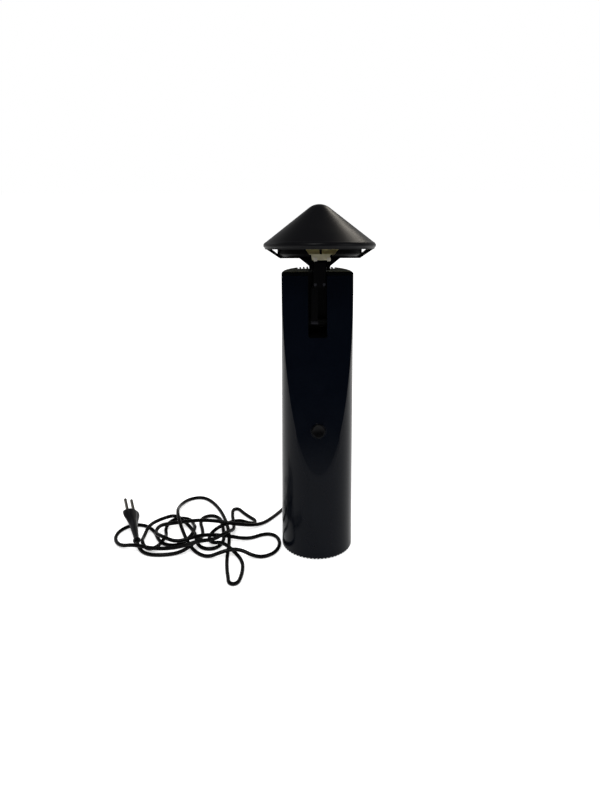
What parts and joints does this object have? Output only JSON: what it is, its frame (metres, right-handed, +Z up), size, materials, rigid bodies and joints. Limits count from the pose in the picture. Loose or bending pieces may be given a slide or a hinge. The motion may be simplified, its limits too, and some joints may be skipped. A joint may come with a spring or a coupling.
{
  "type": "table lamp",
  "caption": "Black tube table lamp with an oblique face, a push button, a folding arm and a tilting conical shade.",
  "frame": {"origin": "centre of the tube's rubber pad, on the table", "axes": "+Z up, -Y is the front with the oblique face and the button, +X is on the right seen from the front"},
  "size_m": [0.303, 0.1981, 0.3926],
  "materials": {
    "black_abs": "gloss",
    "black_nylon": "matte",
    "black_rubber": "matte",
    "zinc_steel": "satin",
    "core_steel": "satin",
    "white_nylon": "matte",
    "yellow_tape": "satin",
    "fuse_glass": "gloss",
    "lead_pvc": "satin",
    "nickel": "gloss",
    "arm_enamel": "satin",
    "hat_enamel": "satin",
    "liner_aluminium": "satin",
    "dark_steel": "satin",
    "ceramic": "matte",
    "quartz_glass": "gloss",
    "tungsten": "satin",
    "cord_pvc": "satin",
    "plug_pvc": "gloss"
  },
  "bodies": {
    "stand": {"body_shell": "black_abs", "front_panel": "black_abs", "top_cap": "black_abs", "base_ring": "black_abs", "base_pad": "black_rubber", "base_screws": "zinc_steel", "slot_well": "black_nylon", "arm_stop_pad": "black_rubber", "transformer_core": "core_steel", "transformer_bobbin": "white_nylon", "primary_winding": "yellow_tape", "secondary_winding": "yellow_tape", "transformer_seat": "black_nylon", "transformer_bracket": "zinc_steel", "bracket_screws": "zinc_steel", "fuse_holder": "black_nylon", "fuse": "fuse_glass", "terminal_block": "white_nylon", "terminal_screws": "zinc_steel", "mains_leads": "lead_pvc", "switch_leads": "lead_pvc", "secondary_leads": "lead_pvc", "button_collar": "black_abs", "switch_body": "black_nylon", "switch_lugs": "zinc_steel", "button_spring": "zinc_steel", "arm_pivot_pin": "dark_steel", "pivot_clips": "zinc_steel", "pivot_spacer": "black_nylon", "friction_washers": "black_nylon", "cord_grommet": "black_rubber", "inner_cord": "cord_pvc", "cord_anchor": "black_nylon", "anchor_clamp": "black_nylon", "anchor_screws": "zinc_steel", "power_cord": "cord_pvc", "plug_sleeve": "cord_pvc", "plug_body": "plug_pvc", "plug_pins": "nickel"},
    "arm": {"arm_bar": "arm_enamel", "arm_hub": "dark_steel", "arm_sleeve": "arm_enamel", "sleeve_screws": "dark_steel", "arm_lead": "lead_pvc"},
    "head": {"shade_hat": "hat_enamel", "hat_liner": "liner_aluminium", "lamp_pan": "hat_enamel", "pan_reflector": "liner_aluminium", "yoke_strap": "arm_enamel", "strap_rivets": "nickel", "tilt_fork": "arm_enamel", "tilt_pin": "nickel", "tilt_washers": "black_nylon", "lead_rods": "dark_steel", "lamp_terminals": "nickel", "lamp_holder": "ceramic", "capsule_glass": "quartz_glass", "capsule_filament": "tungsten"},
    "button": {"push_button": "black_abs"}
  },
  "joints": [
    {"name": "arm_swing", "type": "hinge", "parent": "stand", "child": "arm", "pos_m": [0.0026, 0.005, 0.2595], "axis": [1, 0, 0], "range_deg": [0, 90]},
    {"name": "head_tilt", "type": "hinge", "parent": "arm", "child": "head", "pos_m": [0.0026, 0.005, 0.328], "axis": [1, 0, 0], "range_deg": [-10, 50]},
    {"name": "button_press", "type": "slide", "parent": "stand", "child": "button", "axis": [0, 0.9836, -0.1805], "range_m": [0, 0.0025], "stiffness_N_per_m": 500, "springref_m": -0.0012, "deforming": ["button_spring"]}
  ]
}
